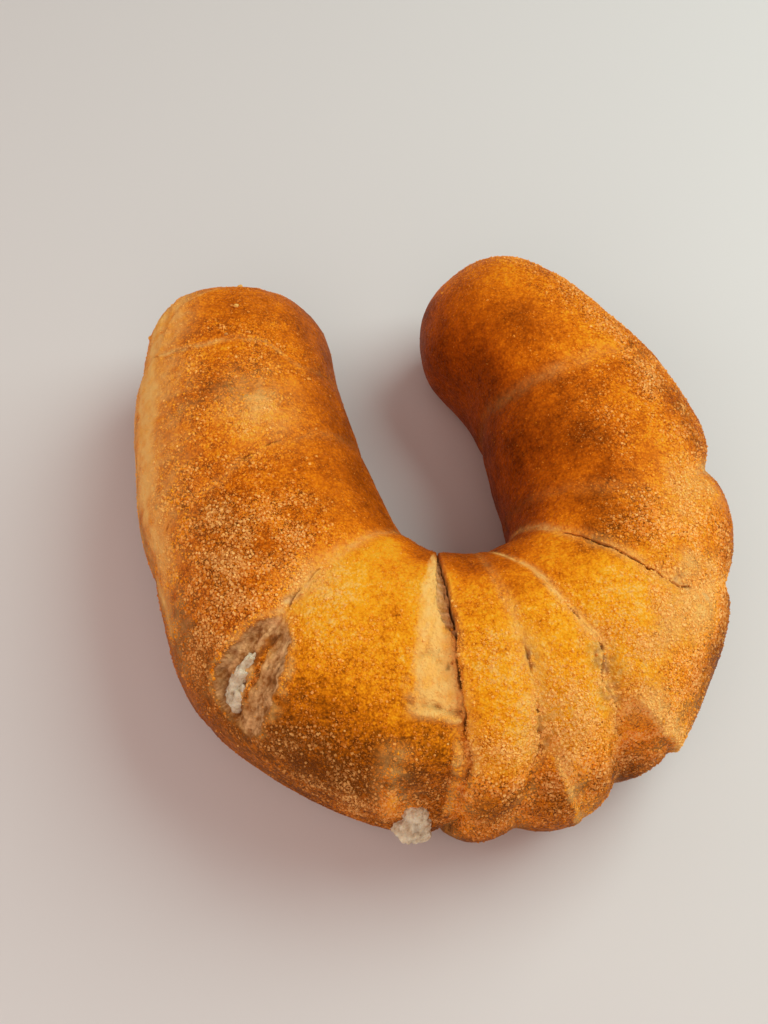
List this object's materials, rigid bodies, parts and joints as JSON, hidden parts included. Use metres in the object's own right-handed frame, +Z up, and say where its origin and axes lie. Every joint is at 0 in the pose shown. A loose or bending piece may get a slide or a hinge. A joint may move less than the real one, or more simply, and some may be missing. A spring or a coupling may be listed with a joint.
{
  "type": "horseshoe pastry",
  "caption": "Thick sweet yeast roll bent into a horseshoe, with overlapping turns of golden dough and a pale filling that shows at its torn seams.",
  "frame": {"origin": "on the surface that the pastry rests on, under the middle of its outline", "axes": "+Z up from the resting face, -Y towards the bend of the horseshoe, +Y towards its two ends, +X towards the end that turns inwards"},
  "size_m": [0.1248, 0.1375, 0.0466],
  "materials": {
    "baked_dough": "egg-washed golden-brown crust with fine sugar, between satin and matte",
    "pale_filling": "soft moist off-white paste"
  },
  "bodies": {
    "root": {"dough": "baked_dough", "filling": "pale_filling"}
  },
  "joints": []
}
